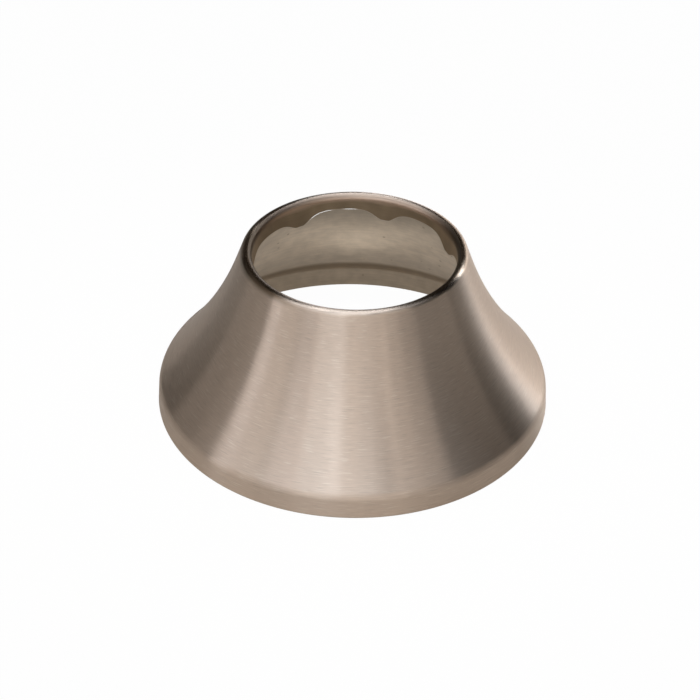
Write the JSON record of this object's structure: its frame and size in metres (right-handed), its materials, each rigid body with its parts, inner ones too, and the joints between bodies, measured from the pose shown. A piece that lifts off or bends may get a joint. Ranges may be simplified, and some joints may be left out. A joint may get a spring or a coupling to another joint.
{
  "type": "bell escutcheon",
  "caption": "Flared sheet-metal bell cover with a rolled rim and a round bore, which slides over a drain tube and hides the hole where the tube enters a wall or floor.",
  "frame": {"origin": "centre of the base ring, in the plane of the wall that it sits against", "axes": "+Z along the bore, from the base to the rim; an ear of the lip lies 72.5 degrees from +X towards +Y"},
  "size_m": [0.0762, 0.0762, 0.0332],
  "materials": {
    "brushed_nickel": "brushed nickel plate, satin round the outside, bright on the rim, dull inside"
  },
  "bodies": {
    "root": {"bell_escutcheon": "brushed_nickel"}
  },
  "joints": []
}
